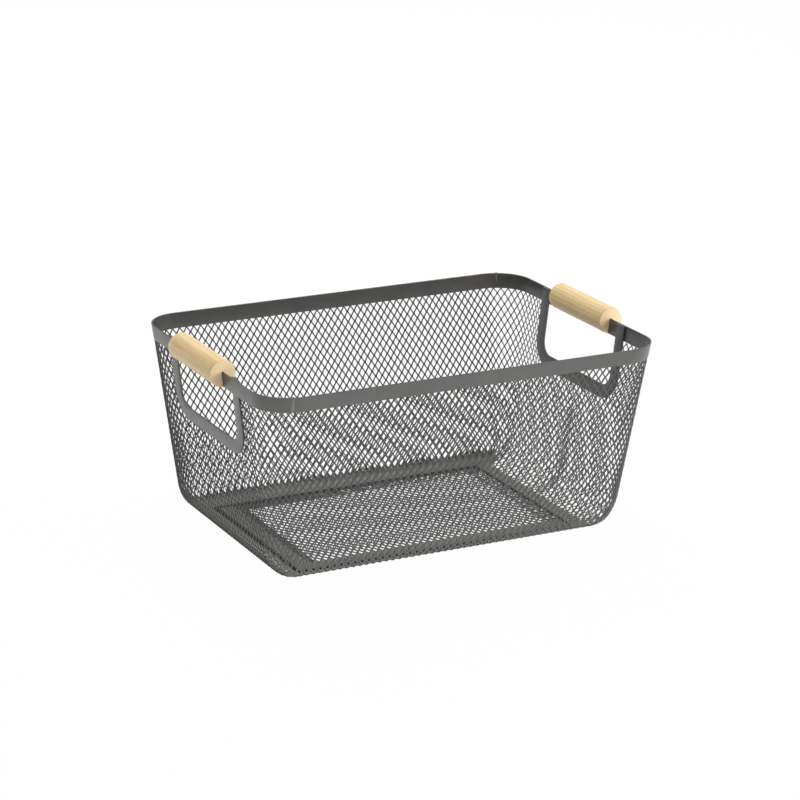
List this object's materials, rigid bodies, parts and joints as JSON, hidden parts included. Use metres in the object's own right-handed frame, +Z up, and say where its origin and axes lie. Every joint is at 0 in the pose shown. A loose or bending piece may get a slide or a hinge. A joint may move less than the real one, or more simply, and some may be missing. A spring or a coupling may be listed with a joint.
{
  "type": "wire basket",
  "caption": "Open rectangular basket of expanded metal mesh with tapering sides, a flat rim band and slotted wooden grips over U-framed hand openings at both ends.",
  "frame": {"origin": "under the middle of the base, on the surface that the basket stands on", "axes": "+X along the basket from the left to the right grip, +Y across it to the back, +Z up"},
  "size_m": [0.3756, 0.2536, 0.1726],
  "materials": {
    "mesh_paint": "satin powder coat over expanded metal",
    "rim_paint": "satin powder coat over flat steel strip",
    "grip_wood": "clear matt varnish"
  },
  "bodies": {
    "root": {"wall_front": "mesh_paint", "wall_back": "mesh_paint", "wall_left_lower": "mesh_paint", "wall_right_lower": "mesh_paint", "wall_left_beside_front": "mesh_paint", "wall_left_beside_back": "mesh_paint", "wall_right_beside_front": "mesh_paint", "wall_right_beside_back": "mesh_paint", "corner_front_left": "mesh_paint", "corner_front_right": "mesh_paint", "corner_back_left": "mesh_paint", "corner_back_right": "mesh_paint", "foot_front": "mesh_paint", "foot_back": "mesh_paint", "foot_left": "mesh_paint", "foot_right": "mesh_paint", "base_panel": "mesh_paint", "rim_front_half": "rim_paint", "rim_back_half": "rim_paint", "handle_frame_left": "rim_paint", "handle_frame_right": "rim_paint", "grip_left": "grip_wood", "grip_right": "grip_wood"}
  },
  "joints": []
}
